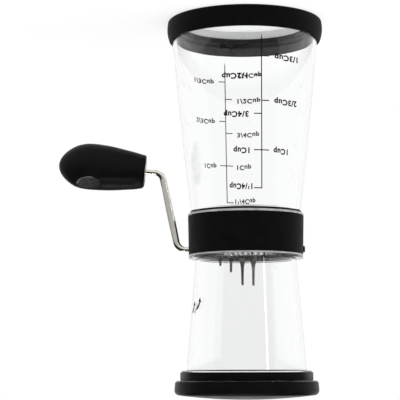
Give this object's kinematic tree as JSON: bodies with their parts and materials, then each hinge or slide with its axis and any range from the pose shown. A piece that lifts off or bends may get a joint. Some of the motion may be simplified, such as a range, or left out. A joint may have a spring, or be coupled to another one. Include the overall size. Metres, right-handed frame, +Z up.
{
  "type": "hand cranked nut grinder",
  "caption": "Hand cranked nut grinder: clear hopper with a black lid over a tined rotor in a black collar, screwed on a clear measuring jar with a rubber foot ring.",
  "frame": {"origin": "on the jar's axis, in the plane that the rubber foot ring rests on", "axes": "+Z up the jar's axis, +X towards the crank knob, +Y away from a viewer who has the crank on the right"},
  "size_m": [0.1406, 0.083, 0.2014],
  "materials": {
    "clear_plastic": "clear polished styrene",
    "black_rubber": "satin rubber",
    "grey_silicone": "soft satin",
    "black_band": "fine satin black",
    "soft_grip": "soft touch satin",
    "white_nylon": "natural nylon",
    "stamped_steel": "stamped stainless",
    "polished_steel": "bright drawn wire",
    "cast_steel": "tumbled stainless"
  },
  "bodies": {
    "jar": {"measuring_jar": "clear_plastic", "foot_ring": "black_rubber"},
    "gasket": {"jar_gasket": "grey_silicone"},
    "hopper": {"hopper": "clear_plastic", "grip_band": "black_band", "mouth_band": "black_band", "crank_bush": "white_nylon", "tail_bush": "white_nylon", "tooth_plate": "stamped_steel", "tooth_plate_screws": "stamped_steel"},
    "crank": {"crank_rod": "polished_steel", "tine_bar_1": "cast_steel", "tine_bar_2": "cast_steel", "tine_bar_3": "cast_steel", "tine_bar_4": "cast_steel", "tine_bar_5": "cast_steel", "tine_bar_6": "cast_steel", "tine_spacers": "polished_steel", "tail_sleeve": "polished_steel", "crank_sleeve": "polished_steel", "rod_end_cap": "black_band", "pin_clip": "stamped_steel"},
    "knob": {"knob_grip": "soft_grip", "knob_core": "white_nylon"},
    "lid": {"lid": "black_band"}
  },
  "joints": [
    {"name": "hopper_rise", "type": "slide", "parent": "jar", "child": "gasket", "axis": [0, 0, 1], "range_m": [0, 0.018]},
    {"name": "hopper_unscrew", "type": "hinge", "parent": "gasket", "child": "hopper", "pos_m": [0, 0, 0.1039], "axis": [0, 0, 1], "range_deg": [0, 540]},
    {"name": "crank_turn", "type": "hinge", "parent": "hopper", "child": "crank", "pos_m": [0, 0, 0.1226], "axis": [1, 0, 0], "continuous": true},
    {"name": "knob_spin", "type": "hinge", "parent": "crank", "child": "knob", "pos_m": [0.0532, 0, 0.0811], "axis": [0.9959, 0, -0.0906], "continuous": true},
    {"name": "lid_lift", "type": "slide", "parent": "hopper", "child": "lid", "axis": [0, 0, 1], "range_m": [0, 0.03]}
  ],
  "couplings": [
    {"joint": "hopper_rise", "follows": "hopper_unscrew", "m_per_rad": 0.0019099}
  ]
}
